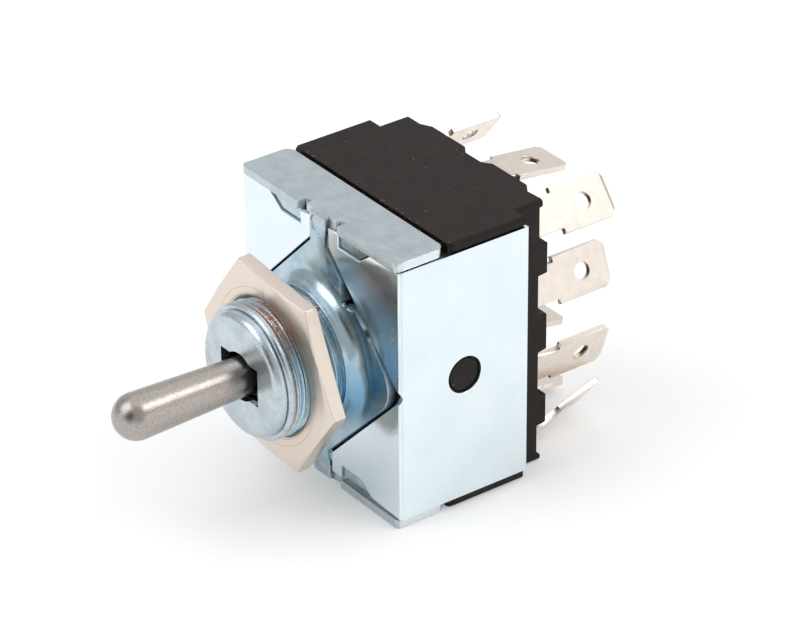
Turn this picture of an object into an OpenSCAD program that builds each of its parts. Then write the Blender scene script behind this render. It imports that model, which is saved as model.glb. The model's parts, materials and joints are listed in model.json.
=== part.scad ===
// Panel toggle switch with four poles, a centre rest and twelve blade terminals.
// Y runs along the bushing: the lever points to -Y and the blades to +Y. X is right and Z is up.
// The origin is on the bushing's axis, in the front face of the flange.

/* [Bushing frame] */
// Height over the two folded strips
frame_h = 38.5; // [37.5:0.5:44]
// Width of the folded strips
frame_w = 33; // [32:0.2:38]
// Thickness of the frame's sheet
frame_t = 1.25; // [1:0.05:1.5]
// Length of a folded strip, front to rear
strip_d = 7.6; // [6:0.2:9]
// Rounding of the flange's left and right corners
flange_tip_r = 4.3; // [2:0.1:5]
// Width of the necks that are folded back into the strips
neck_w = 3.2; // [3:0.1:4.5]
// Inside radius of the necks' folds
neck_fold_r = 0.2; // [0.1:0.05:0.6]
// Width of the relief gap between a neck and a tab
relief_w = 2.6; // [2:0.1:2.8]
// Depth of the relief gap into the strip
relief_d = 0.65; // [0.4:0.05:1.2]
// Drop of a bent tab below its strip
tab_drop = 1.8; // [1:0.05:2]
// Width of a tab along its lower edge
tab_foot_w = 4; // [2.5:0.1:4.5]
// Width of a tab where it leaves the strip
tab_root_w = 6.5; // [5:0.05:7]
// Distance of a tab behind the strip's front edge
tab_setback = 0.6; // [0.05:0.05:0.7]
// Radius of the coin marks pressed into the folds
coin_r = 1.35; // [1:0.05:1.5]
// Depth of the coin marks
coin_d = 0.15; // [0.05:0.01:0.3]

/* [Bushing] */
// Outside diameter of the thread
thread_d = 18.3; // [18:0.1:18.8]
// Thread pitch
thread_pitch = 0.94; // [0.75:0.01:1.2]
// Depth of the thread
thread_depth = 0.55; // [0.4:0.01:0.6]
// Length of the bushing in front of the flange
bushing_l = 12.3; // [11.5:0.1:14]
// Thickness of the bushing's front wall
face_t = 1.3; // [1:0.05:1.5]
// Rounding of the front wall's rim
face_r = 1.15; // [0.8:0.05:1.3]
// Radius of the fillet between bushing and flange
root_r = 2.4; // [1.5:0.1:2.6]
// Inside diameter of the bushing
bore_d = 14.5; // [14:0.1:14.8]
// Length of the lever's slot
slot_l = 8; // [7.6:0.1:9]
// Height of the lever's slot
slot_w = 5.3; // [5.2:0.1:6]
// Diameter of the round hole in the middle of the slot
eye_d = 6.6; // [6:0.1:6.9]

/* [Nut] */
// Width of the nut across its flats
nut_af = 24.8; // [22:0.1:26]
// Thickness of the nut
nut_t = 2.16; // [1.8:0.02:2.4]
// Distance from the flange to the nut
nut_gap = 6.1; // [4.5:0.1:6.6]
// Turn of the nut about the bushing in degrees
nut_turn = -5.5; // [-30:0.5:30]
// Radial play between nut and thread
nut_play = 0.05; // [0.03:0.01:0.1]

/* [Lever] */
// Length of the lever in front of the bushing
lever_l = 18.6; // [14:0.1:24]
// Diameter of the lever's tip
lever_tip_d = 6.2; // [5:0.1:7]
// Diameter of the lever where it enters the bushing
lever_root_d = 5.2; // [4.4:0.1:5.3]
// Distance of the pivot behind the bushing's face
pivot_depth = 5; // [5:0.1:5.3]
// Diameter of the lever's ball
ball_d = 7.2; // [6.8:0.1:7.2]
// Largest swing of the lever to each side in degrees
swing = 12; // [8:0.5:12]
// Diameter of the pivot pin
pin_d = 1.9; // [1.5:0.1:2.2]
// Radial play of the pivot pin in the ball
pin_play = 0.05; // [0.03:0.01:0.09]
// Diameter of the lever's tail
tail_d = 2.8; // [2.2:0.1:3.2]
// Diameter of the ball at the tail's end
tail_ball_d = 3.9; // [3.4:0.1:3.9]
// Play of the tail's ball in the actuator's well
tail_play = 0.1; // [0.05:0.01:0.15]

/* [Side plates] */
// Thickness of the side plates
plate_t = 0.6; // [0.5:0.05:0.8]
// Length of the side plates, front to rear
plate_d = 20.4; // [18:0.1:22]
// Inside radius of the plates' folds
plate_fold_r = 0.1; // [0.05:0.05:0.5]
// Gap between the plates' ears and the flange
ear_gap = 0.4; // [0.1:0.05:0.5]
// Gap between the plates' ears and the necks
ear_neck_gap = 0.3; // [0.2:0.05:0.6]
// Distance of the ears' front faces behind the flange's
ear_setback = 0.3; // [0:0.05:0.5]
// Play round the tabs in the ears' windows
window_play = 0.2; // [0.1:0.05:0.3]
// Depth of the pointed notch in the side behind the fold
fold_notch_d = 0.5; // [0.3:0.1:1.5]
// Diameter of the hole in the side
hole_d = 5.1; // [4.6:0.1:8]
// Distance of the hole behind the flange's front face
hole_y = 10.5; // [9:0.1:13]

/* [Case] */
// How far the side plates stand proud of the strips
plate_proud = 0.25; // [0:0.05:0.3]
// Distance of the barriers' rear faces behind the flange's front face
case_rear_y = 25.5; // [25.2:0.1:27]
// Depth of the pockets round the terminals
pocket_d = 1.4; // [1:0.1:2]
// Distance from the flange's front face to the step in the sides
case_step_y = 20.1; // [18:0.1:21.5]
// Depth of the step in the sides
case_step_in = 1.85; // [1.5:0.05:2]
// Thickness of the top and bottom walls
case_wall = 0.9; // [0.7:0.05:0.95]
// Thickness of the side walls
case_side = 2.4; // [2:0.1:2.5]
// Thickness of the rear wall
rear_wall = 3.5; // [3:0.1:4]
// Thickness of the ribs between the poles
rib_t = 1.2; // [0.8:0.1:1.4]
// Rounding of the case's long edges
case_edge_r = 0.5; // [0.2:0.1:0.8]
// Diameter of the bosses in the side plates' holes
boss_d = 4.4; // [3.6:0.1:4.6]

/* [Terminals] */
// Distance of the side columns of terminals from the case's sides
column_in = 4.35; // [4.2:0.05:5]
// Distance of the outer rows of terminals from the case's top and underside
row_in = 2.9; // [2.8:0.1:3.4]
// Width of a blade
blade_w = 6.35; // [5.5:0.05:7]
// Thickness of a terminal
blade_t = 0.8; // [0.6:0.05:0.9]
// Distance from the flange's front face to the middle blades' shoulders
shoulder_y = 29.7; // [29.5:0.1:31]
// Distance from the flange's front face to the middle blades' ends
blade_end_y = 38.2; // [37:0.1:42]
// How much shorter the side blades are
side_short = 1; // [0:0.1:1.2]
// Width of a terminal's neck
neck_blade_w = 4.8; // [3.6:0.1:4.9]
// Size of the chamfers at a blade's corners
blade_chamfer = 1; // [0.6:0.1:1.8]
// Diameter of the hole in a blade
eyelet_d = 2.4; // [1.8:0.05:3]
// Distance of the hole from the blade's end
eyelet_in = 4.35; // [3.4:0.05:4.6]
// Turn of the outer side terminals in degrees
twist_outer = 51; // [44:1:56]
// Turn of the inner side terminals in degrees
twist_inner = 70; // [62:1:72]

/* [Mechanism] */
// Largest tilt of a rocker to each side in degrees
rocker_tilt = 7; // [5:0.5:7]
// Length of a rocker's end beyond its contact's axis
rocker_end = 1; // [0.8:0.1:1.4]
// Width of a rocker
rocker_w = 4.2; // [3.4:0.1:4.4]
// Thickness of a rocker
rocker_t = 0.9; // [0.7:0.05:1]
// Radius of the ridge that a rocker tips on
ridge_r = 1; // [0.8:0.05:1]
// Play between ridge and rocker
ridge_play = 0.05; // [0.03:0.01:0.09]
// Distance of the contacts from the side terminals' necks, towards the middle
contact_in = 2.2; // [2:0.1:2.6]
// Diameter of the contact rivets' heads
contact_d = 2.8; // [2:0.1:3]
// Height of the fixed contacts' heads
fixed_head = 0.7; // [0.5:0.05:0.8]
// Gap left between closed contacts
contact_gap = 0.05; // [0.03:0.01:0.15]
// Diameter of the plungers
plunger_d = 2.6; // [2.2:0.1:2.6]
// Radial play of the plungers in the actuator
plunger_play = 0.07; // [0.04:0.01:0.1]
// Gap between a plunger's tip and its rocker at full tilt
plunger_gap = 0.15; // [0.12:0.01:0.25]
// Wire diameter of the plunger springs
wire_d = 0.32; // [0.25:0.01:0.4]
// Turns of a plunger spring
spring_turns = 5; // [3:1:7]
// Width of the actuator
actuator_w = 8; // [6.4:0.1:9]
// Play of the actuator between flange, walls and ribs
actuator_play = 0.2; // [0.1:0.05:0.3]

/* [Hidden] */
$fn = 72;

// A small overlap that lets cuts run past the faces they open
past = 0.5;
// Clearance between pieces of the same body that lie beside each other
fit = 0.05;

// Frame
half_h = frame_h / 2;
neck_edge_r = 0.4;
plate_x = frame_w / 2 + plate_proud;
ear_reach = plate_x + 0.25;
flange_reach = ear_reach - ear_gap * sqrt(2);
strip_z = half_h - frame_t;
tab_x = neck_w / 2 + relief_w;
tab_z = strip_z - tab_drop;
tip_centre = flange_reach - flange_tip_r * sqrt(2);
tip_flat = tip_centre + flange_tip_r / sqrt(2);
strip_front_r = 0.7;
strip_rear_r = 1.3;
slit_w = 1.05;
slit_d = relief_d + 0.8;
coin_z = strip_z - 0.35;

// Bushing
thread_r = thread_d / 2;
root_of_thread_r = thread_r - thread_depth;
face_y = -bushing_l;
inner_face_y = face_y + face_t;
land_y = face_y + face_r;
rim_r = thread_r - 0.7;
groove_r = rim_r - 0.12;
groove_w = 0.25;
land_l = 0.9;
land_chamfer = 0.3;
crest_flat = 0.14;
thread_start = land_y + groove_w + land_l + 0.4;
bore_r = bore_d / 2;
slot_end_r = 4.75;

// Nut
nut_y = -nut_gap - nut_t;
nut_corner_r = nut_af / sqrt(3);
nut_bore_r = thread_r + nut_play;
nut_face_r = nut_af / 2 - 0.1;
nut_out_r = nut_corner_r + past;
nut_face_drop = 0.4;
nut_lead = 0.25;

// Lever
pivot_y = face_y + pivot_depth;
tip_centre_y = face_y - lever_l + lever_tip_d / 2;
tail_y = 6.5;
tail_l = tail_y - pivot_y;
pin_end = root_of_thread_r - 0.7;
pin_hole_r = pin_d / 2 + pin_play;
retainer_t = 1.5;
retainer_wall = 1.65;

// Side plates
case_half_w = plate_x - plate_t;
case_w = 2 * case_half_w;
plate_edge_r = 0.35;
plate_z = strip_z - 0.1;
ear_x = neck_w / 2 + ear_neck_gap;

// Case
case_front_y = frame_t + 0.1;
case_top = strip_z - fit;
case_in_x = case_half_w - case_side;
case_rear_w = case_w - 2 * case_step_in;
case_front_r = 1;
overhang_z = plate_z + 0.15;
floor_y = case_rear_y - pocket_d;
rear_in_y = floor_y - rear_wall;
rib_y = 11.7;
lip_y = strip_d + 0.65;
sleeve_in_z = case_top - case_wall;
rear_in_z = half_h - case_wall;
// Reach of the wells round the side blades towards the middle of the case, pole by pole
well_reach = [3.35, 2.85, 3.2, 2.4];
pocket_draft = 0.15;
sill_t = 1;
sill_d = 0.9;
sill_slant = 1.3;
block_x = 9.9;
block_in_x = 2.9;
boss_h = 0.6;
boss_fore = 0.2;
boss_rise = 0.15;

// Terminals and poles: poles count down from the top
row_pitch = (half_h - row_in) * 2 / 3;
low_row = 0.7;
column_pitch = case_half_w - column_in;
contact_x = column_pitch - contact_in;
rocker_reach = contact_x + rocker_end;
function row_z(pole) = (2.5 - pole) * row_pitch - (pole == 3 ? low_row : 0);
function up(pole) = pole < 2.5 ? 1 : -1;
pole_in = 1.7;
function pole_z(pole) = row_z(pole) - up(pole) * pole_in;
function is_outer(pole) = pole == 1 || pole == 4;
function side(column) = column == "left" ? -1 : column == "right" ? 1 : 0;
// Turn of a blade's width away from X, about +Y seen from the front
function twist(pole, column) = -side(column) * up(pole) * (is_outer(pole) ? twist_outer : twist_inner);
// Small bends of the blades behind the case, towards the side of their feet
function bend(pole, column) =
    column == "right" && pole == 4 ? 14 :
    column != "middle" ? 0 :
    pole == 1 ? 7 : pole == 2 ? -7 : pole == 3 ? -10 : -6;
// How far a side blade sits below its slot in the wall, jogged on the well's floor
function jog(pole, column) =
    column == "middle" || pole == 4 ? 0 :
    pole == 1 ? 1.2 : pole == 2 ? 0.4 : 0.7;
tongue_w = 3.9;
foot_w = 4.3;
foot_past = 1.6;
neck_y = rear_in_y - blade_t;
bend_y = case_rear_y + 0.3;
slot_play = 0.06;
end_bevel = 0.25;
rivet_r = 0.7;

// Mechanism, from the rocker's axis forward
fixed_face_y = neck_y - fixed_head;
moving_head = 0.6;
axis_to_rear = 1.1;
axis_y = fixed_face_y - contact_gap - moving_head + axis_to_rear;
axis_to_front = axis_to_rear + rocker_t;
hub_half = 1.95;
hub_back = 0.15;
button_h = 0.3;
button_r = 1.1;
plunger_r = plunger_d / 2;
plunger_tip_y = axis_y - axis_to_front - plunger_gap;
plunger_rear_y = 9;
plunger_bore_y = 5.2;
actuator_front_y = 4.5;
actuator_rear_y = rib_y - actuator_play;
actuator_z = sleeve_in_z - actuator_play;
runner_y = frame_t + actuator_play;
runner_in_z = 7;
runner_out_z = 11;
spring_ring = 8;
spring_steps = 16;

// Extrudes a drawing of X and Z along Y from y0 to y1
module slab_y(y0, y1) {
    translate([0, y1, 0]) rotate([90, 0, 0]) linear_extrude(y1 - y0) children();
}

// Extrudes a drawing of Y and Z along X from x0 to x1
module slab_x(x0, x1) {
    translate([x0, 0, 0]) rotate([90, 0, 90]) linear_extrude(x1 - x0) children();
}

// A box from its lowest to its highest corner
module block(low, high) {
    translate(low) cube(high - low);
}

// A round bar along Y
module rod_y(y0, y1, r) {
    translate([0, y0, 0]) rotate([-90, 0, 0]) cylinder(h = y1 - y0, r = r);
}

// Turns a drawing of radius and Y about the Y axis
module turn_y() {
    rotate([-90, 0, 0]) rotate_extrude($fn = 120) children();
}

// What is left outside a round edge of radius r in the corner of two faces, with its corner at the origin
module edge_waste(r) {
    difference() {
        translate([-past, -past]) square(r + past);
        translate([r, r]) circle(r);
    }
}

// A rectangle with rounded corners, centred
module round_rect(w, h, r) {
    square([w, h - 2 * r], center = true);
    square([w - 2 * r, h], center = true);
    for (x = [-1, 1]) for (z = [-1, 1]) translate([x * (w / 2 - r), z * (h / 2 - r)]) circle(r);
}

// Diamond flange with rounded corners at the sides and straight necks above and below
module flange_outline() {
    neck = neck_w / 2;
    edge = flange_reach - tip_flat;
    polygon([
        [-neck, half_h - neck_edge_r], [neck, half_h - neck_edge_r], [neck, flange_reach - neck],
        [tip_flat, edge], [tip_flat, -edge], [neck, neck - flange_reach],
        [neck, neck_edge_r - half_h], [-neck, neck_edge_r - half_h], [-neck, neck - flange_reach],
        [-tip_flat, -edge], [-tip_flat, edge], [-neck, flange_reach - neck]
    ]);
    for (x = [-1, 1]) translate([x * tip_centre, 0]) circle(flange_tip_r);
}

// Round nick in the flange's edge, on the upper right and, turned round, on the lower left
module flange_nick() {
    nick_at = 6.3;
    nick_r = 2.2;
    nick_out = 0.75;
    for (turn = [0, 180]) rotate(turn) translate([nick_at, flange_reach - nick_at]) rotate(-45)
        translate([0, nick_out]) circle(nick_r);
}

// Section of a folded neck in Y and Z, from the flange to the strip
module neck_section() {
    difference() {
        union() {
            translate([0, flange_reach - neck_w]) square([frame_t, half_h - flange_reach + neck_w]);
            translate([0, strip_z]) square([strip_d / 2, frame_t]);
            translate([frame_t, strip_z]) mirror([0, 1]) edge_fill(neck_fold_r);
        }
        translate([0, half_h]) mirror([0, 1]) edge_waste(neck_edge_r);
    }
}

// Fills an inside corner at the origin with a fillet of radius r
module edge_fill(r) {
    difference() {
        square(r);
        translate([r, r]) circle(r);
    }
}

// Outline of a folded strip in X and Y, with the relief gaps beside the neck and a slit next to each tab
module strip_outline() {
    neck = neck_w / 2;
    difference() {
        translate([-frame_w / 2, 0]) square([frame_w, strip_d]);
        for (x = [0, 1]) mirror([x, 0]) {
            translate([neck, -past]) square([relief_w, relief_d + past]);
            translate([tab_x - slit_w, 0]) square([slit_w, slit_d]);
            translate([frame_w / 2, 0]) mirror([1, 0]) edge_waste(strip_front_r);
            translate([frame_w / 2, strip_d]) rotate(180) edge_waste(strip_rear_r);
        }
    }
}

// Outline of one bent tab in X and Z, on the right of the neck
module tab_outline() {
    polygon([
        [tab_x, strip_z + frame_t / 2], [tab_x, tab_z], [tab_x + tab_foot_w, tab_z],
        [tab_x + tab_root_w, strip_z], [tab_x + tab_root_w, strip_z + frame_t / 2]
    ]);
}

// Outside of the bushing in radius and Y: fillet, thread ridges, rim and rounded front
module bushing_profile() {
    turns = floor((-root_r - thread_start) / thread_pitch) + 1;
    difference() {
        translate([0, -root_r]) square([thread_r + root_r, root_r + frame_t / 2]);
        translate([thread_r + root_r, -root_r]) circle(root_r);
    }
    translate([0, land_y - past]) square([groove_r, groove_w + 2 * past]);
    translate([0, land_y + groove_w]) square([root_of_thread_r, -land_y - groove_w]);
    for (i = [0:turns]) translate([0, thread_start + i * thread_pitch]) polygon([
        [root_of_thread_r - past, -thread_pitch / 2], [root_of_thread_r, -thread_pitch / 2 + crest_flat],
        [thread_r, -crest_flat / 2], [thread_r, crest_flat / 2],
        [root_of_thread_r, thread_pitch / 2 - crest_flat], [root_of_thread_r - past, thread_pitch / 2]
    ]);
    translate([0, land_y + groove_w]) polygon([
        [groove_r - past, 0], [thread_r - land_chamfer, 0], [thread_r, land_chamfer], [thread_r, land_l],
        [groove_r - past, land_l]
    ]);
    translate([0, face_y]) square([rim_r - face_r, past + face_t]);
    intersection() {
        translate([rim_r - face_r, land_y]) circle(face_r);
        translate([0, face_y]) square([rim_r, face_r]);
    }
}

// Opening for the lever in X and Z: a slot with a round eye
module lever_opening() {
    circle(eye_d / 2);
    intersection() {
        square([slot_l, slot_w], center = true);
        circle(slot_end_r);
    }
}

module bushing_frame() color("#b9ccd6") difference() {
    union() {
        slab_y(0, frame_t) flange_outline();
        turn_y() bushing_profile();
        for (z = [0, 180]) rotate([0, z, 0]) {
            slab_x(-neck_w / 2, neck_w / 2) neck_section();
            translate([0, 0, strip_z]) linear_extrude(frame_t) strip_behind_fold();
            for (x = [0, 1]) mirror([x, 0, 0]) slab_y(tab_setback, frame_t) tab_outline();
        }
    }
    rod_y(inner_face_y, frame_t + past, bore_r);
    slab_y(face_y - past, inner_face_y + past) lever_opening();
    slab_y(-past, frame_t + past) flange_nick();
    for (z = [0, 1]) mirror([0, 0, z]) pin_groove();
    for (z = [0, 180]) rotate([0, z, 0]) coin_mark();
}

// The strip without its front corner over the neck, which the fold rounds
module strip_behind_fold() {
    difference() {
        strip_outline();
        translate([-neck_w / 2, -past]) square([neck_w, neck_edge_r + past]);
    }
}

// Groove in the bushing's wall that the pivot pin slides into from behind
module pin_groove() {
    groove_end = pin_end + fit;
    translate([0, pivot_y, 0]) cylinder(h = groove_end, r = pin_hole_r);
    block([-pin_hole_r, pivot_y, 0], [pin_hole_r, frame_t + past, groove_end]);
}

// Shallow round mark pressed into the fold of a neck
module coin_mark() {
    translate([0, coin_d, coin_z]) rotate([90, 0, 0]) cylinder(h = coin_d + past, r = coin_r);
}

// Section of a side plate in X and Y, with a rounded fold
module plate_section() {
    difference() {
        union() {
            translate([ear_x, ear_setback]) square([plate_x - ear_x, plate_t]);
            translate([case_half_w, ear_setback]) square([plate_t, plate_d - ear_setback]);
            translate([case_half_w, ear_setback + plate_t]) mirror([1, 0]) edge_fill(plate_fold_r);
        }
        translate([plate_x, ear_setback]) mirror([1, 0]) edge_waste(plate_edge_r);
    }
}

// Window in an ear round one bent tab, in X and Z
module ear_window() {
    polygon([
        [tab_x - window_play, strip_z], [tab_x - window_play, tab_z - window_play],
        [tab_x + tab_foot_w + window_play, tab_z - window_play],
        [tab_x + tab_root_w + window_play * 1.5, strip_z]
    ]);
}

module side_plate() {
    fold_x = case_half_w - fit;
    ear_rear_y = ear_setback + plate_t;
    notch = ear_reach - fold_x;
    difference() {
        translate([0, 0, -plate_z]) linear_extrude(2 * plate_z) plate_section();
        slab_y(-past, ear_rear_y + past) intersection() {
            polygon([[0, ear_reach], [ear_reach, 0], [0, -ear_reach]]);
            translate([0, -ear_reach]) square([fold_x, 2 * ear_reach]);
        }
        slab_x(fold_x - past, plate_x + past) polygon([
            [-past, notch], [ear_setback, notch], [ear_setback + fold_notch_d, 0], [ear_setback, -notch],
            [-past, -notch]
        ]);
        for (z = [0, 1]) mirror([0, 0, z]) slab_y(-past, ear_rear_y + past) ear_window();
        translate([0, hole_y, 0]) rotate([0, 90, 0]) cylinder(h = plate_x + past, r = hole_d / 2);
    }
}

module side_plate_right() color("#cfe2ec") side_plate();

module side_plate_left() color("#cfe2ec") rotate([0, 180, 0]) side_plate();

module hex_nut() color("#d9d0c6") difference() {
    intersection() {
        slab_y(nut_y, -nut_gap) rotate(nut_turn) circle(nut_corner_r, $fn = 6);
        turn_y() polygon([
            [0, nut_y], [nut_face_r, nut_y], [nut_out_r, nut_y + nut_face_drop], [nut_out_r, -nut_gap],
            [0, -nut_gap]
        ]);
    }
    rod_y(nut_y - past, past - nut_gap, nut_bore_r);
    turn_y() for (y = [0, 1]) translate([0, y * (nut_y + nut_gap) - nut_gap]) polygon([
        [0, -nut_lead], [nut_bore_r, -nut_lead], [nut_bore_r + nut_lead, 0], [nut_bore_r, nut_lead],
        [0, nut_lead]
    ]);
}

module lever() color("#8f8a86") difference() {
    union() {
        turn_y() difference() {
            union() {
                translate([0, tip_centre_y]) circle(lever_tip_d / 2);
                polygon([
                    [0, tip_centre_y], [lever_tip_d / 2, tip_centre_y], [lever_root_d / 2, face_y],
                    [lever_root_d / 2, pivot_y], [0, pivot_y]
                ]);
                translate([0, pivot_y]) circle(ball_d / 2);
                translate([0, pivot_y]) square([tail_d / 2, tail_l]);
                translate([0, tail_y]) circle(tail_ball_d / 2);
            }
            translate([-lever_tip_d - ball_d, tip_centre_y - lever_tip_d])
                square([lever_tip_d + ball_d, 2 * lever_l + 2 * tail_l]);
        }
    }
    translate([0, pivot_y, -ball_d]) cylinder(h = 2 * ball_d, r = pin_hole_r);
}

module pivot_pin() color("silver") {
    translate([0, pivot_y, -pin_end]) cylinder(h = 2 * pin_end, r = pin_d / 2);
}

module pin_retainer() color("silver") {
    y0 = pivot_y + pin_d / 2;
    difference() {
        rod_y(y0, y0 + retainer_t, bore_r);
        rod_y(y0 - past, y0 + retainer_t + past, bore_r - retainer_wall);
    }
}

// Well round one terminal: sloped walls, floor at floor_y, open past the outer edges
module pocket(x0, x1, z0, z1) {
    deep = pocket_d + past;
    flare = pocket_draft * deep / pocket_d;
    intersection() {
        translate([0, 0, z0 - past]) linear_extrude(z1 - z0 + 2 * past) polygon([
            [x0, floor_y], [x1, floor_y], [x1 + flare, floor_y + deep], [x0 - flare, floor_y + deep]
        ]);
        slab_x(x0 - past, x1 + past) polygon([
            [floor_y, z0], [floor_y, z1], [floor_y + deep, z1 + flare], [floor_y + deep, z0 - flare]
        ]);
    }
}

// Notch with slanted ends in the case's top edge, which an outer well opens into over a sill
module rim_notch(x0, x1) {
    slope = sill_slant / sill_d;
    translate([0, 0, half_h - sill_t - past]) linear_extrude(sill_t + 2 * past) polygon([
        [x0 - slope * past, case_rear_y + past], [x0 + sill_slant, case_rear_y - sill_d],
        [x1 - sill_slant, case_rear_y - sill_d], [x1 + slope * past, case_rear_y + past]
    ]);
}

// The twelve wells, each reaching the case's edge where the terminal is next to it
module pockets() {
    for (pole = [1:4]) {
        z = abs(row_z(pole));
        z0 = z - well_reach[pole - 1];
        z1 = is_outer(pole) ? half_h - sill_t : z + well_reach[pole - 1];
        mirror([0, 0, up(pole) < 0 ? 1 : 0]) {
            pocket(-block_in_x, block_in_x, z0, z1);
            if (is_outer(pole)) rim_notch(-block_in_x, block_in_x);
            for (x = [0, 1]) mirror([x, 0, 0]) {
                pocket(block_x, case_rear_w / 2 + past, z0, z1);
                if (is_outer(pole)) rim_notch(block_x, case_rear_w / 2 + sill_slant);
            }
        }
    }
}

// Ledge over one edge of the side plates, as wide as the strips, with rounded front corners
module case_overhang() {
    intersection() {
        slab_y(lip_y, case_step_y) difference() {
            round_rect(frame_w, frame_h, case_edge_r);
            translate([-frame_w, -frame_h]) square([2 * frame_w, frame_h + overhang_z]);
        }
        linear_extrude(half_h) difference() {
            translate([-frame_w / 2, lip_y]) square([frame_w, case_step_y - lip_y]);
            for (x = [0, 1]) mirror([x, 0]) translate([frame_w / 2, lip_y]) mirror([1, 0])
                edge_waste(case_front_r);
        }
    }
}

module case() color("#2f2b29") difference() {
    union() {
        slab_y(case_front_y, lip_y + past) round_rect(case_w, 2 * case_top, case_edge_r);
        slab_y(lip_y, case_step_y) round_rect(case_w, frame_h, case_edge_r);
        for (z = [0, 1]) mirror([0, 0, z]) case_overhang();
        slab_y(case_step_y - past, case_rear_y) round_rect(case_rear_w, frame_h, case_edge_r);
        for (x = [0, 180]) rotate([0, x, 0]) translate([case_half_w - past, hole_y - boss_fore, boss_rise])
            rotate([0, 90, 0]) cylinder(h = boss_h + past, r = boss_d / 2);
    }
    difference() {
        union() {
            block([-case_in_x, case_front_y - past, -sleeve_in_z], [case_in_x, rear_in_y, sleeve_in_z]);
            block([-case_in_x, lip_y + 1, -rear_in_z], [case_in_x, rear_in_y, rear_in_z]);
        }
        for (z = [-1, 0, 1]) translate([0, 0, z * (pole_z(1) + pole_z(2)) / 2])
            block([-case_half_w, rib_y, -rib_t / 2], [case_half_w, rear_in_y + past, rib_t / 2]);
    }
    pockets();
    for (pole = [1:4]) for (column = ["left", "middle", "right"]) at_terminal(pole, column)
        block([-tongue_w / 2 - slot_play, rear_in_y - past, -blade_t / 2 - slot_play],
            [tongue_w / 2 + slot_play, floor_y + past, blade_t / 2 + slot_play]);
}

// Places a terminal drawn with its width along X and its foot towards -Z
module at_terminal(pole, column, drop = 0) {
    translate([side(column) * column_pitch, 0, row_z(pole) - drop]) rotate([0, -twist(pole, column), 0])
        mirror([0, 0, up(pole) < 0 ? 1 : 0]) children();
}

// Blade with shoulders, chamfered corners, a bevelled end and a round hole
module blade(column) {
    w = blade_w / 2;
    neck = neck_blade_w / 2;
    short = column == "middle" ? 0 : side_short;
    root_y = shoulder_y - short;
    end_y = blade_end_y - short;
    difference() {
        translate([0, 0, -blade_t / 2]) linear_extrude(blade_t) polygon([
            [-neck, bend_y], [neck, bend_y], [neck, root_y], [w, root_y], [w, end_y - blade_chamfer],
            [w - blade_chamfer, end_y], [blade_chamfer - w, end_y], [-w, end_y - blade_chamfer],
            [-w, root_y], [-neck, root_y]
        ]);
        translate([0, end_y - eyelet_in, -blade_t]) cylinder(h = 2 * blade_t, r = eyelet_d / 2);
        for (z = [0, 1]) mirror([0, 0, z]) slab_x(-w - past, w + past) polygon([
            [end_y - 2 * end_bevel, blade_t / 2], [end_y - 2 * end_bevel, blade_t],
            [end_y + past, blade_t], [end_y + past, blade_t / 2 - end_bevel],
            [end_y, blade_t / 2 - end_bevel]
        ]);
    }
}

// Offset of a side terminal's contact from the blade, along the blade's width and along its foot
function contact_offset(pole) =
    let (angle = is_outer(pole) ? twist_outer : twist_inner)
    let (dx = -contact_in, dz = -pole_in)
    [dx * cos(angle) - dz * sin(angle), -dx * sin(angle) - dz * cos(angle)];

// A terminal: foot inside the case, neck through the wall and blade behind it
module terminal(pole, column) {
    middle = column == "middle";
    foot_l = middle ? pole_in + rocker_w / 2 : contact_offset(pole)[1] + foot_past;
    neck = neck_blade_w / 2;
    foot = middle ? neck : foot_w / 2;
    angle = -bend(pole, column);
    drop = jog(pole, column);
    color("#e9e2da") {
        at_terminal(pole, column) difference() {
            union() {
                block([-foot, neck_y, -foot_l], [foot, rear_in_y, blade_t / 2]);
                block([-tongue_w / 2, rear_in_y, -blade_t / 2], [tongue_w / 2, floor_y + fit, blade_t / 2]);
                if (middle) ridge();
            }
            if (!middle) at_contact(pole, column) rod_y(neck_y - past, rear_in_y + past, rivet_r + fit);
        }
        if (drop > 0) hull() {
            at_terminal(pole, column) jog_end(tongue_w);
            at_terminal(pole, column, drop) jog_end(neck_blade_w);
        }
        at_terminal(pole, column, drop) {
            block([-neck, floor_y, -blade_t / 2], [neck, bend_y, blade_t / 2]);
            translate([0, bend_y, 0]) rotate([angle, 0, 0]) translate([0, -bend_y, 0]) blade(column);
            if (angle != 0) translate([-neck, bend_y, 0]) rotate([0, 90, 0])
                cylinder(h = neck_blade_w, r = blade_t / 2);
        }
    }
}

// One end of the jog that lies on a well's floor
module jog_end(w) {
    block([-w / 2, floor_y, -blade_t / 2], [w / 2, floor_y + blade_t, blade_t / 2]);
}

// Ridge on a common terminal's foot that the rocker tips on
module ridge() {
    z0 = -pole_in - rocker_w / 2;
    translate([0, 0, z0]) {
        block([-ridge_r, axis_y, 0], [ridge_r, neck_y + blade_t / 2, rocker_w]);
        translate([0, axis_y, 0]) cylinder(h = rocker_w, r = ridge_r);
    }
}

// Moves to the contact's place on a side terminal's foot
module at_contact(pole, column) {
    offset = contact_offset(pole);
    translate([side(column) * offset[0], 0, -offset[1]]) children();
}

module fixed_contact(pole, column) {
    color("#d8c9a0") at_terminal(pole, column) at_contact(pole, column) {
        rod_y(fixed_face_y, neck_y, contact_d / 2);
        rod_y(neck_y - fit, rear_in_y, rivet_r);
    }
}

// Moves to a rocker's axis, with its front towards -Y
module at_rocker(pole) {
    translate([0, axis_y, pole_z(pole)]) children();
}

// Flat wing that rises to the front by the tilt, with the hole for its contact rivet
module wing() {
    rotate([0, 0, -rocker_tilt]) difference() {
        block([0, -axis_to_front, -rocker_w / 2], [rocker_reach, -axis_to_rear, rocker_w / 2]);
        translate([contact_x, 0, 0]) rod_y(-axis_to_front - past, past - axis_to_rear, rivet_r + fit);
    }
}

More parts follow.
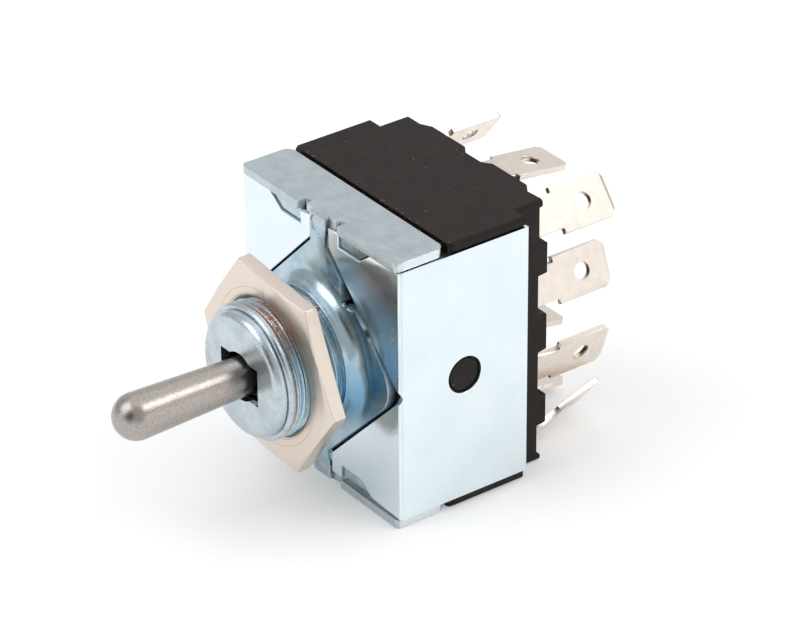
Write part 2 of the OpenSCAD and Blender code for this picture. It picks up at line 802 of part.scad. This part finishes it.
module rocker(pole) {
    color("#c9a25a") at_rocker(pole) difference() {
        union() {
            wing();
            mirror([1, 0, 0]) wing();
            block([-hub_half, -axis_to_front, -rocker_w / 2], [hub_half, -hub_back, rocker_w / 2]);
        }
        translate([0, 0, -rocker_w]) cylinder(h = 2 * rocker_w, r = ridge_r + ridge_play);
    }
}

module moving_contacts(pole) {
    color("#d8c9a0") at_rocker(pole) for (x = [0, 1]) mirror([x, 0, 0]) rotate([0, 0, -rocker_tilt])
        translate([contact_x, 0, 0]) {
            rod_y(-axis_to_rear, moving_head - axis_to_rear, contact_d / 2);
            rod_y(-axis_to_front - fit, fit - axis_to_rear, rivet_r);
            rod_y(-axis_to_front - button_h, -axis_to_front, button_r);
        }
}

module actuator() color("#e8e4da") difference() {
    w = actuator_w / 2;
    union() {
        block([-w, actuator_front_y, -actuator_z], [w, actuator_rear_y, actuator_z]);
        for (z = [0, 1]) mirror([0, 0, z])
            block([-w, runner_y, runner_in_z], [w, actuator_front_y + past, runner_out_z]);
    }
    well_half = tail_ball_d / 2 + tail_play;
    well_end_y = tail_y + tail_ball_d / 2 + tail_play;
    block([-well_half, actuator_front_y - past, -well_half], [well_half, well_end_y, well_half]);
    for (pole = [1:4]) translate([0, 0, pole_z(pole)])
        rod_y(plunger_bore_y, actuator_rear_y + past, plunger_r + plunger_play);
}

module plunger(pole) {
    color("#b8b4aa") translate([0, 0, pole_z(pole)]) {
        rod_y(plunger_rear_y, plunger_tip_y - plunger_r, plunger_r);
        translate([0, plunger_tip_y - plunger_r, 0]) sphere(plunger_r);
    }
}

// One ring of the spring's wire: angle is measured round the coil
function wire_ring(angle, y, coil_r) = [for (i = [0:spring_ring - 1])
    let (a = 360 * i / spring_ring, r = coil_r + wire_d / 2 * cos(a))
    [r * cos(angle), y + wire_d / 2 * sin(a), r * sin(angle)]];

// Closed helix of wire between y0 and y1
module coil_spring(y0, y1, coil_r) {
    count = spring_turns * spring_steps;
    rise = y1 - y0 - wire_d;
    points = [for (k = [0:count])
        each wire_ring(360 * k / spring_steps, y0 + wire_d / 2 + rise * k / count, coil_r)];
    walls = [for (k = [0:count - 1]) for (i = [0:spring_ring - 1])
        let (j = (i + 1) % spring_ring, a = k * spring_ring, b = a + spring_ring)
        [a + i, a + j, b + j, b + i]];
    start = [for (i = [0:spring_ring - 1]) spring_ring - 1 - i];
    end = [for (i = [0:spring_ring - 1]) count * spring_ring + i];
    polyhedron(points, concat(walls, [start, end]));
}

module plunger_spring(pole) {
    color("silver") translate([0, 0, pole_z(pole)])
        coil_spring(plunger_bore_y + fit, plunger_rear_y - fit, plunger_r - wire_d / 2 - fit);
}

bushing_frame();
side_plate_left();
side_plate_right();
hex_nut();
lever();
pivot_pin();
pin_retainer();
case();
actuator();
for (pole = [1:4]) {
    plunger(pole);
    plunger_spring(pole);
    rocker(pole);
    moving_contacts(pole);
    for (column = ["left", "right"])
        fixed_contact(pole, column);
    for (column = ["left", "middle", "right"])
        terminal(pole, column);
}
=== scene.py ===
"""Looks of a panel toggle switch.

Zinc-plated frame and side plates, nickel-plated nut, steel lever, black case and tinned blades.
"""

import json
import math

import bmesh
import bpy
import numpy as np
from mathutils import Matrix, Vector


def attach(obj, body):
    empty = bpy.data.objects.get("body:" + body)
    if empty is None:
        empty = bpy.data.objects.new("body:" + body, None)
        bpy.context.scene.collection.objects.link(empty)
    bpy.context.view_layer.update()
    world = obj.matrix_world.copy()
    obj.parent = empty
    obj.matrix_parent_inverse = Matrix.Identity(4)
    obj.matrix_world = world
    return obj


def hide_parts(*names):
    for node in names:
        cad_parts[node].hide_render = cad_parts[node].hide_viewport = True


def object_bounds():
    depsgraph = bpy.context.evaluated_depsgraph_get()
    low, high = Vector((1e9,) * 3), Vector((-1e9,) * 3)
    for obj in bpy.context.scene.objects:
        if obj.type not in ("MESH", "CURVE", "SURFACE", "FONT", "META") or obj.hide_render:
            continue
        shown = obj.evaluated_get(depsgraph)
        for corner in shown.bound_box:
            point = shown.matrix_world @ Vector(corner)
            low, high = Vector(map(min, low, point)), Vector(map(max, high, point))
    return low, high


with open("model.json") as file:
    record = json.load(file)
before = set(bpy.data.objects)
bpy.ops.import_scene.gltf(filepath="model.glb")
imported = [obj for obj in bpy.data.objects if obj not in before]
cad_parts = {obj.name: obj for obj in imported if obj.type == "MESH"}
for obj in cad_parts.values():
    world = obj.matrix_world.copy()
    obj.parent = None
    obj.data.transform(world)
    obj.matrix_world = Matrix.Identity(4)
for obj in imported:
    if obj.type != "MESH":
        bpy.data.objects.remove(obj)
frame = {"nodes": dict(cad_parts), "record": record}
cad_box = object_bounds()

MM = 0.001

# The photograph's camera, in millimetres and degrees round the part's own origin
IMAGE_W = 800
SENSOR_MM = 36.0
FOCAL_PX = 4112.6
CAMERA_MM = (366.83, -257.67, 267.15)
CAMERA_AZIMUTH = 53.601
CAMERA_ELEVATION = 30.443
CAMERA_ROLL = -0.446

# The folded frame's finish changes above this height, on the strips, and in front of this depth, on the nose
STRIP_Z = 17.4
NOSE_Y = -9.6

# Up to here the front edge of the case's top and underside is rubbed
CASE_FRONT_Y = 8.9

# The sheets' cut edges lie outside this radius, and in front of these depths on the plates and the flange
EDGE_R = 10.5
PLATE_EDGE_Y = 0.85
FLANGE_EDGE_Y = 1.2

# The nut's bore, the rust's reach from it and the reach of the facing cut's dark rings
BORE_R = 9.3
BORE_RUST_R = 9.9
RINGS_R = 11.4

# Crests and grooves of the thread
CREST_R = 9.1
GROOVE_R = 8.7

# Places of stains on the part, as X, Y and Z
BLUE_FILM = (9.5, -1.5, -3.5)
EAR_RUST = (12.5, 0.0, 5.0)
ROOT_RUST = (2.0, -1.5, 10.0)
THREAD_RUST = (2.5, -8.0, 8.5)
NUT_RUST = (2.0, -8.0, 9.0)

# The surround's plain brightness, and its panels: each one's direction, the degrees from it at which it
# starts and ends to fade, and its brightness
SURROUND = 0.6
PANELS = (
    ((-0.69, 0.55, 0.48), 20, 45, 0.8),
    ((0.87, 0.5, 0.0), 18, 34, 1.2),
    ((-0.15, 0.35, 0.92), 20, 42, 1.1),
    ((-0.2, -0.97, 0.0), 18, 34, 1.1),
    ((0.3, -0.84, 0.46), 12, 28, 0.06),
)

# The paper floor: its grey, the glow that lifts it to white where it is seen, and half its width in metres
PAPER = 0.84
PAPER_GLOW = 0.25
FLOOR_HALF = 1.5

# Lamps: name, place in metres, size in metres and watts
LAMPS = (
    ("right rear", (0.46, 0.48, 0.75), 0.4, 1.55),
    ("left front", (-0.25, -0.55, 0.68), 0.65, 2.4),
)

# Corners of a CAD node's triangles that are closer than this, in metres, are one
MERGE = 1e-6

# Triangles that meet at less than the first angle are one flat face, and edges over the second are creases.
# Both are in degrees.
FLAT = 0.4
CREASE = 20.0

# A crease stays sharp where its rounding has no room: where a flat edge leaves its end at a cosine over
# SLANT, where an edge there is shorter than ROOM roundings, and on a face with more than RING_SIDES sides
# that is narrower than RING_ROOM roundings, which is a thin ring
SLANT = 0.85
ROOM = 0.6
RING_SIDES = 24
RING_ROOM = 4


def linear(code):
    """An sRGB hex colour such as #b4c3cc as the linear RGBA that Blender's sockets take."""
    values = [int(code[i : i + 2], 16) / 255 for i in (1, 3, 5)]
    return [v / 12.92 if v <= 0.04045 else ((v + 0.055) / 1.055) ** 2.4 for v in values] + [1.0]


def add(tree, kind, inputs, out=0, **settings):
    """Adds a shader node with its settings and links, and gives one of its outputs."""
    made = tree.nodes.new("ShaderNode" + kind)
    for name, value in settings.items():
        setattr(made, name, value)
    for name, value in inputs.items():
        if isinstance(value, bpy.types.NodeSocket):
            tree.links.new(value, made.inputs[name])
        else:
            made.inputs[name].default_value = value
    return made.outputs[out]


def begin(name):
    """A new material with its tree, its shader and the piece's own coordinates in metres."""
    made = bpy.data.materials.new(name)
    made.use_nodes = True
    tree = made.node_tree
    return made, tree, tree.nodes["Principled BSDF"], add(tree, "TexCoord", {}, "Object")


def mottle(tree, place, mm, low=0.0, high=1.0, detail=3.0):
    """Clouds with features of so many millimetres, stretched to run from low to high."""
    pattern = {"Vector": place, "Scale": 1 / (mm * MM), "Detail": detail, "Roughness": 0.6}
    clouds = add(tree, "TexNoise", pattern)
    limits = {"Value": clouds, "From Min": 0.32, "From Max": 0.68, "To Min": low, "To Max": high}
    return add(tree, "MapRange", limits)


def specks(tree, place, pitch_mm, size_mm, share):
    """Dots of one size, 0 or 1, in a share of the cells of a random pattern."""
    cells = {"Vector": place, "Scale": 1 / (pitch_mm * MM)}
    reach = add(tree, "TexVoronoi", cells, "Distance")
    dot = add(tree, "Math", {0: reach, 1: size_mm / (2 * pitch_mm)}, operation="LESS_THAN")
    draw = add(tree, "SeparateColor", {0: add(tree, "TexVoronoi", cells, "Color")})
    drawn = add(tree, "Math", {0: draw, 1: share}, operation="LESS_THAN")
    return add(tree, "Math", {0: dot, 1: drawn}, operation="MULTIPLY")


def near(tree, place, at_mm, core_mm, reach_mm):
    """1 round a place of the part, falling to 0 at its reach."""
    ends = {0: place, 1: [v * MM for v in at_mm]}
    gap = add(tree, "VectorMath", ends, "Value", operation="DISTANCE")
    limits = {"From Min": core_mm * MM, "From Max": reach_mm * MM, "To Min": 1.0, "To Max": 0.0}
    return add(tree, "MapRange", {"Value": gap, **limits})


def from_axis(tree, place):
    """Distance from the bushing's axis, in metres."""
    across = add(tree, "VectorMath", {0: place, 1: (1.0, 0.0, 1.0)}, "Vector", operation="MULTIPLY")
    return add(tree, "VectorMath", {0: across}, "Value", operation="LENGTH")


def finish(tree, shader, colour, roughness, metallic, bumps):
    """Links the main sockets, and stacks bumps, each a height from 0 to 1 and its depth in millimetres."""
    tree.links.new(colour, shader.inputs["Base Color"])
    tree.links.new(roughness, shader.inputs["Roughness"])
    if isinstance(metallic, bpy.types.NodeSocket):
        tree.links.new(metallic, shader.inputs["Metallic"])
    else:
        shader.inputs["Metallic"].default_value = metallic
    below = {}
    for height, depth in bumps:
        below = {"Normal": add(tree, "Bump", {"Height": height, "Distance": depth * MM, **below})}
    tree.links.new(below["Normal"], shader.inputs["Normal"])


def sheared(tree, place, depth_mm):
    """1 on the cut edges of the sheet round the flange, which face sideways, and 0 on its rolled faces."""
    facing = add(tree, "SeparateXYZ", {0: add(tree, "TexCoord", {}, "Normal")}, 1)
    facing = add(tree, "Math", {0: facing}, operation="ABSOLUTE")
    side = add(tree, "Math", {0: facing, 1: 0.4}, operation="LESS_THAN")
    outer = add(tree, "Math", {0: from_axis(tree, place), 1: EDGE_R * MM}, operation="GREATER_THAN")
    depth = add(tree, "SeparateXYZ", {0: place}, 1)
    front = add(tree, "Math", {0: depth, 1: depth_mm * MM}, operation="LESS_THAN")
    both = add(tree, "Math", {0: side, 1: outer}, operation="MULTIPLY")
    return add(tree, "Math", {0: both, 1: front}, operation="MULTIPLY")


def stained(tree, colour, roughness, rust):
    """Rust over a plated finish, as thick as the mask says: gives the colour, roughness and metallic."""
    brown = add(tree, "Mix", {0: rust, 6: colour, 7: linear("#b06f3f")}, 2, data_type="RGBA")
    dull = add(tree, "Mix", {0: rust, 2: roughness, 3: 0.75})
    metal = add(tree, "MapRange", {"Value": rust, "To Min": 1.0, "To Max": 0.2})
    return brown, dull, metal


def bright_zinc():
    """Rolled steel sheet, bright zinc plated with a blue film: a near mirror, slightly blurred and wavy."""
    made, tree, shader, place = begin("bright_zinc")
    film = {0: mottle(tree, place, 7.0), 6: linear("#e8f2f6"), 7: linear("#e0edf3")}
    colour = add(tree, "Mix", film, 2, data_type="RGBA")
    cut = add(tree, "Math", {0: sheared(tree, place, PLATE_EDGE_Y), 1: 0.45}, operation="MULTIPLY")
    roughness = add(tree, "Math", {0: mottle(tree, place, 1.2, 0.13, 0.2), 1: cut})

    ear = near(tree, place, EAR_RUST, 2.5, 6.0)
    dots = specks(tree, place, 0.9, 0.4, 0.14)
    rust = add(tree, "Math", {0: ear, 1: dots}, operation="MULTIPLY")
    colour, roughness, metal = stained(tree, colour, roughness, rust)

    # The plate's real crystals are finer than this grain, which is as coarse as it needs to show
    grain = mottle(tree, place, 0.3)
    waves = mottle(tree, place, 8.0, detail=0.0)
    finish(tree, shader, colour, roughness, metal, [(waves, 0.02), (grain, 0.0006)])
    return made


def satin_zinc():
    """The same plate on the drawn stamping: a soft mirror on flange and root, duller on nose and strips."""
    made, tree, shader, place = begin("satin_zinc")
    along = add(tree, "SeparateXYZ", {0: place}, 1)
    height = add(tree, "Math", {0: add(tree, "SeparateXYZ", {0: place}, 2)}, operation="ABSOLUTE")
    strip = add(tree, "Math", {0: height, 1: STRIP_Z * MM}, operation="GREATER_THAN")
    nose = add(tree, "Math", {0: along, 1: NOSE_Y * MM}, operation="LESS_THAN")

    # The plate's real crystals are finer than this grain, which is as coarse as it needs to show
    fine = mottle(tree, place, 0.16, detail=4.0)
    broad = mottle(tree, place, 2.2, detail=4.0)
    blotch = add(tree, "Mix", {0: 0.6, 2: fine, 3: broad})

    clear = {0: mottle(tree, place, 3.0), 6: linear("#bed2dc"), 7: linear("#9db6c4")}
    clear = add(tree, "Mix", clear, 2, data_type="RGBA")
    film = near(tree, place, BLUE_FILM, 2.0, 6.5)
    clear = add(tree, "Mix", {0: film, 6: clear, 7: linear("#7aa5c1")}, 2, data_type="RGBA")
    worn = {0: blotch, 6: linear("#c8d2d7"), 7: linear("#aeb9c0")}
    worn = add(tree, "Mix", worn, 2, data_type="RGBA")
    colour = add(tree, "Mix", {0: strip, 6: clear, 7: worn}, 2, data_type="RGBA")
    pale = {0: blotch, 6: linear("#cfdae0"), 7: linear("#abb7be")}
    pale = add(tree, "Mix", pale, 2, data_type="RGBA")
    colour = add(tree, "Mix", {0: nose, 6: colour, 7: pale}, 2, data_type="RGBA")

    # The strips' sheared ends keep the cut's own fine grain, but their colour is painted paler than the
    # rolled faces as a painted highlight
    sideways = add(tree, "SeparateXYZ", {0: add(tree, "TexCoord", {}, "Normal")}, 0)
    sideways = add(tree, "Math", {0: sideways}, operation="ABSOLUTE")
    sideways = add(tree, "Math", {0: sideways, 1: 0.9}, operation="GREATER_THAN")
    ends = add(tree, "Math", {0: sideways, 1: strip}, operation="MULTIPLY")
    cut = {0: fine, 6: linear("#f0f5f7"), 7: linear("#cfd8dc")}
    cut = add(tree, "Mix", cut, 2, data_type="RGBA")
    colour = add(tree, "Mix", {0: ends, 6: colour, 7: cut}, 2, data_type="RGBA")

    dull = add(tree, "Math", {0: strip, 1: nose}, operation="MAXIMUM")
    smooth = mottle(tree, place, 1.0, 0.14, 0.24)
    rough = mottle(tree, place, 0.3, 0.24, 0.34)
    roughness = add(tree, "Mix", {0: dull, 2: smooth, 3: rough})
    edges = sheared(tree, place, FLANGE_EDGE_Y)
    roughness = add(tree, "Mix", {0: edges, 2: roughness, 3: 0.6})

    # Rust sits in the thread's upper grooves, behind the nose, and in a few dots at the bushing's root
    behind = {"Value": along, "From Min": -10.6 * MM, "From Max": -9.8 * MM}
    grooves = {"Value": from_axis(tree, place), "From Min": GROOVE_R * MM, "From Max": CREST_R * MM}
    crust = near(tree, place, THREAD_RUST, 2.5, 8.0)
    for mask in (
        add(tree, "MapRange", behind),
        mottle(tree, place, 0.25, 0.0, 1.2, 4.0),
        add(tree, "MapRange", {**grooves, "To Min": 1.0, "To Max": 0.55}),
    ):
        crust = add(tree, "Math", {0: crust, 1: mask}, operation="MULTIPLY")
    crust = add(tree, "MapRange", {"Value": crust, "From Min": 0.2, "From Max": 0.6, "To Max": 0.9})
    root = near(tree, place, ROOT_RUST, 2.0, 5.0)
    dots = add(tree, "Math", {0: root, 1: specks(tree, place, 0.8, 0.5, 0.12)}, operation="MULTIPLY")
    rust = add(tree, "Math", {0: crust, 1: dots}, operation="MAXIMUM")
    colour, roughness, metal = stained(tree, colour, roughness, rust)

    waves = mottle(tree, place, 4.0, detail=0.0)
    finish(tree, shader, colour, roughness, metal, [(waves, 0.01), (fine, 0.003)])
    return made


def turned_nickel():
    """Turned steel nut, nickel plated: warm and satin, with faint rings from the cut and a rusty bore."""
    made, tree, shader, place = begin("turned_nickel")
    radius = from_axis(tree, place)

    # The facing cut's rings are drawn coarser than the tool's real feed, so that they show
    rings = {"W": radius, "Scale": 1 / (0.25 * MM), "Detail": 2.0}
    rings = add(tree, "TexNoise", rings, noise_dimensions="1D")
    dark = add(tree, "MapRange", {"Value": rings, "From Min": 0.5, "From Max": 0.7})
    inner = {"Value": radius, "From Min": BORE_R * MM, "From Max": RINGS_R * MM}
    inner = add(tree, "MapRange", {**inner, "To Min": 0.8, "To Max": 0.0})
    turned = add(tree, "Math", {0: dark, 1: inner}, operation="MULTIPLY")
    colour = {0: turned, 6: linear("#e3d7cb"), 7: linear("#9c8a78")}
    colour = add(tree, "Mix", colour, 2, data_type="RGBA")
    roughness = mottle(tree, place, 0.8, 0.3, 0.4)

    dots = add(tree, "Math", {0: specks(tree, place, 1.6, 0.35, 0.1), 1: 0.6}, operation="MULTIPLY")
    edge = {"Value": radius, "From Min": BORE_R * MM, "From Max": BORE_RUST_R * MM}
    edge = add(tree, "MapRange", {**edge, "To Min": 1.2, "To Max": 0.0}, clamp=False)
    upper = near(tree, place, NUT_RUST, 3.0, 11.0)
    edge = add(tree, "Math", {0: edge, 1: upper}, operation="MULTIPLY")
    patch = mottle(tree, place, 0.4)
    edge = add(tree, "Math", {0: edge, 1: patch}, operation="MULTIPLY", use_clamp=True)
    rust = add(tree, "Math", {0: dots, 1: edge}, operation="MAXIMUM")
    colour, roughness, metal = stained(tree, colour, roughness, rust)

    grain = mottle(tree, place, 0.3)
    finish(tree, shader, colour, roughness, metal, [(rings, 0.0004), (grain, 0.0015)])
    return made


def satin_steel():
    """Tumbled steel lever with a grey satin finish: dull, with a fine grain and a few small brown specks."""
    made, tree, shader, place = begin("satin_steel")

    # The tumbling's real pits are finer than this grain, which is as coarse as it needs to show
    grain = mottle(tree, place, 0.25, detail=4.0)
    colour = {0: grain, 6: linear("#bbb4af"), 7: linear("#9d9691")}
    colour = add(tree, "Mix", colour, 2, data_type="RGBA")
    roughness = mottle(tree, place, 0.6, 0.27, 0.35)
    dots = add(tree, "Math", {0: specks(tree, place, 1.1, 0.4, 0.1), 1: 0.5}, operation="MULTIPLY")
    colour, roughness, metal = stained(tree, colour, roughness, dots)
    finish(tree, shader, colour, roughness, metal, [(grain, 0.002)])
    return made


def black_phenolic():
    """Compression-moulded phenolic: near black with a brown cast, a matt skin and pale specks of filler."""
    made, tree, shader, place = begin("black_phenolic")
    base = {0: mottle(tree, place, 2.0), 6: linear("#18120e"), 7: linear("#1f1712")}
    base = add(tree, "Mix", base, 2, data_type="RGBA")
    depth = add(tree, "SeparateXYZ", {0: place}, 1)
    rim = add(tree, "Math", {0: depth, 1: CASE_FRONT_Y * MM}, operation="LESS_THAN")
    rubbed = add(tree, "Math", {0: specks(tree, place, 0.45, 0.25, 0.25), 1: rim}, operation="MULTIPLY")
    filler = specks(tree, place, 0.7, 0.25, 0.03)
    flakes = add(tree, "Math", {0: filler, 1: rubbed}, operation="MAXIMUM")
    flakes = add(tree, "Math", {0: flakes, 1: 0.45}, operation="MULTIPLY")
    colour = add(tree, "Mix", {0: flakes, 6: base, 7: linear("#96765a")}, 2, data_type="RGBA")
    shader.inputs["Specular IOR Level"].default_value = 0.22

    # The mould's texture is finer than this grain, which is as coarse as it needs to show
    grain = mottle(tree, place, 0.25)
    finish(tree, shader, colour, mottle(tree, place, 0.6, 0.46, 0.56), 0.0, [(grain, 0.008)])
    return made


def tinned_blade():
    """Stamped brass, tin plated: warm white metal, satin, with faint lengthwise rolling marks."""
    made, tree, shader, place = begin("tinned_blade")
    colour = {0: mottle(tree, place, 1.5), 6: linear("#eee4da"), 7: linear("#e3d9ce")}
    colour = add(tree, "Mix", colour, 2, data_type="RGBA")
    roughness = mottle(tree, place, 0.5, 0.26, 0.36)

    # Rolling marks are drawn wider than real ones, and about eight times as long as wide, so that they show
    stretched = add(tree, "Mapping", {"Vector": place, "Scale": (1.0, 0.12, 1.0)})
    marks = mottle(tree, stretched, 0.2)
    waves = mottle(tree, place, 2.5, detail=0.0)
    finish(tree, shader, colour, roughness, 1.0, [(waves, 0.006), (marks, 0.001)])
    return made


def plain_finish(name, code, rough, metallic):
    """A finish of an inner piece, with a little grain of its own."""
    made, tree, shader, place = begin(name)
    grain = mottle(tree, place, 0.5)
    colour = {0: grain, 6: linear(code), 7: [0.8 * v for v in linear(code)]}
    colour = add(tree, "Mix", colour, 2, data_type="RGBA")
    roughness = mottle(tree, place, 0.5, rough - 0.05, rough + 0.05)
    finish(tree, shader, colour, roughness, metallic, [(grain, 0.002)])
    return made


def mark_creases(shape, edge_mm):
    """Marks the creases to be rounded, whose ends leave the rounding room, and keeps the others sharp."""
    weight = shape.edges.layers.float.new("bevel_weight_edge")
    least = math.radians(CREASE)
    creases = {edge for edge in shape.edges if edge.is_manifold and edge.calc_face_angle() > least}
    crowded = set()
    for face in shape.faces:
        width = 2 * face.calc_area() / face.calc_perimeter()
        if len(face.verts) > RING_SIDES and width < RING_ROOM * edge_mm * MM:
            crowded.update(face.verts)
    for edge in creases:
        for corner in edge.verts:
            along = (edge.other_vert(corner).co - corner.co).normalized()
            for other in set(corner.link_edges) - {edge}:
                away = other.other_vert(corner).co - corner.co
                slanted = other not in creases and abs(along.dot(away.normalized())) > SLANT
                if slanted or away.length < ROOM * edge_mm * MM:
                    crowded.add(corner)
    for edge in creases:
        edge.smooth = crowded.isdisjoint(edge.verts)
        edge[weight] = float(edge.smooth)


def merged_copy(node, name, edge_mm):
    """A copy of a CAD node's mesh with its loose triangles joined and its flat faces made whole."""
    mesh = frame["nodes"][node].data.copy()
    shape = bmesh.new()
    shape.from_mesh(mesh)
    bmesh.ops.remove_doubles(shape, verts=shape.verts, dist=MERGE)
    bmesh.ops.dissolve_limit(
        shape, angle_limit=math.radians(FLAT), verts=shape.verts, edges=shape.edges, delimit={"NORMAL"}
    )
    mark_creases(shape, edge_mm)
    shape.to_mesh(mesh)
    shape.free()
    made = bpy.data.objects.new(name, mesh)
    bpy.context.scene.collection.objects.link(made)
    return made


def dress(piece, material, node, edge_mm):
    """Gives a copy its rounded edges, smooth shading and finish, and lets it stand for its CAD node."""
    mesh = piece.data
    mesh.polygons.foreach_set("use_smooth", np.ones(len(mesh.polygons), dtype=bool))
    bevel = piece.modifiers.new("edges", "BEVEL")
    bevel.width = edge_mm * MM
    bevel.segments = 2
    bevel.limit_method = "WEIGHT"
    bevel.use_clamp_overlap = False
    flat = piece.modifiers.new("flat faces", "WEIGHTED_NORMAL")
    flat.keep_sharp = True
    mesh.materials.clear()
    mesh.materials.append(material)
    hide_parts(node)
    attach(piece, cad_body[node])


def studio():
    """White floor, soft lamps, and a grey surround with brighter panels and a small dark one in front."""
    floor_mesh = bpy.data.meshes.new("floor")
    signs = ((-1, -1), (1, -1), (1, 1), (-1, 1))
    corners = [(x * FLOOR_HALF, y * FLOOR_HALF, cad_box[0].z) for x, y in signs]
    floor_mesh.from_pydata(corners, [], [(0, 1, 2, 3)])
    floor = bpy.data.objects.new("floor", floor_mesh)
    bpy.context.scene.collection.objects.link(floor)
    made = bpy.data.materials.new("white_paper")
    made.use_nodes = True
    tree = made.node_tree
    tree.nodes.remove(tree.nodes["Principled BSDF"])
    camera, glossy, clear = (
        add(tree, "LightPath", {}, ray) for ray in ("Is Camera Ray", "Is Glossy Ray", "Is Transmission Ray")
    )
    seen = add(tree, "Math", {0: camera, 1: glossy}, operation="MAXIMUM")
    seen = add(tree, "Math", {0: seen, 1: clear}, operation="MAXIMUM")
    strength = add(tree, "Math", {0: seen, 1: PAPER_GLOW}, operation="MULTIPLY")
    paper = add(tree, "BsdfDiffuse", {"Color": (PAPER, PAPER, PAPER, 1.0)})
    glow = add(tree, "Emission", {"Color": (1.0, 1.0, 1.0, 1.0), "Strength": strength})
    both = add(tree, "AddShader", {0: paper, 1: glow})
    tree.links.new(both, tree.nodes["Material Output"].inputs["Surface"])
    floor_mesh.materials.append(made)

    world = bpy.data.worlds.new("studio")
    bpy.context.scene.world = world
    world.use_nodes = True
    tree = world.node_tree
    level = SURROUND
    for towards, inner, outer, value in PANELS:
        facing = {0: add(tree, "TexCoord", {}, "Generated"), 1: Vector(towards).normalized()}
        facing = add(tree, "VectorMath", facing, "Value", operation="DOT_PRODUCT")
        limits = {"Value": facing, 1: math.cos(math.radians(outer)), 2: math.cos(math.radians(inner))}
        soft = add(tree, "MapRange", limits, interpolation_type="SMOOTHSTEP")
        level = add(tree, "Mix", {0: soft, 2: level, 3: value})
    tint = add(tree, "CombineColor", {0: level, 1: level, 2: level})
    white = {0: add(tree, "LightPath", {}, "Is Camera Ray"), 6: tint, 7: (1.0, 1.0, 1.0, 1.0)}
    colour = add(tree, "Mix", white, 2, data_type="RGBA")
    tree.links.new(colour, tree.nodes["Background"].inputs["Color"])

    for name, at, size, watts in LAMPS:
        lamp = bpy.data.lights.new(name, "AREA")
        lamp.shape = "SQUARE"
        lamp.size = size
        lamp.energy = watts
        holder = bpy.data.objects.new(name, lamp)
        holder.location = at
        holder.rotation_euler = (-Vector(at)).to_track_quat("-Z", "Y").to_euler()
        bpy.context.scene.collection.objects.link(holder)


def photograph_camera():
    """The camera that took the photograph, turned by its azimuth, elevation and small roll."""
    lens = bpy.data.cameras.new("camera")
    lens.sensor_width = SENSOR_MM
    lens.lens = FOCAL_PX * SENSOR_MM / IMAGE_W
    lens.clip_start, lens.clip_end = 0.01, 10.0
    camera = bpy.data.objects.new("camera", lens)
    turn = (
        Matrix.Rotation(math.radians(CAMERA_AZIMUTH), 4, "Z")
        @ Matrix.Rotation(math.radians(90 - CAMERA_ELEVATION), 4, "X")
        @ Matrix.Rotation(math.radians(CAMERA_ROLL), 4, "Z")
    )
    camera.matrix_world = Matrix.Translation(Vector(CAMERA_MM) * MM) @ turn
    bpy.context.scene.collection.objects.link(camera)
    bpy.context.scene.camera = camera


photograph_camera()
bpy.context.scene.view_settings.view_transform = "Standard"
studio()

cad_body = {node: body for body, nodes in frame["record"]["behaviour"]["bodies"].items() for node in nodes}
slot_of = {part["node"]: part["material_slot"] for part in frame["record"]["subparts"]}

# The finish of each material slot, and how far its pieces' edges are rounded in millimetres. Where that is
# 0, the CAD node itself takes the finish.
FINISH = {
    "zinc_frame": (satin_zinc(), 0.1),
    "zinc_plate": (bright_zinc(), 0.1),
    "nickel_nut": (turned_nickel(), 0.12),
    "lever_steel": (satin_steel(), 0.0),
    "case_black": (black_phenolic(), 0.15),
    "tinned_brass": (tinned_blade(), 0.08),
    "nylon": (plain_finish("natural_nylon", "#d9d4c8", 0.45, 0.0), 0.15),
    "inner_steel": (plain_finish("drawn_steel", "#9c9a96", 0.3, 1.0), 0.0),
    "rocker_brass": (plain_finish("rolled_brass", "#c8a05a", 0.3, 1.0), 0.05),
    "contact_silver": (plain_finish("contact_silver", "#d8d4c8", 0.2, 1.0), 0.0),
}

for node, slot in slot_of.items():
    material, edge_mm = FINISH[slot]
    if edge_mm:
        dress(merged_copy(node, node + "_finished", edge_mm), material, node, edge_mm)
    else:
        for socket in frame["nodes"][node].material_slots:
            socket.material = material
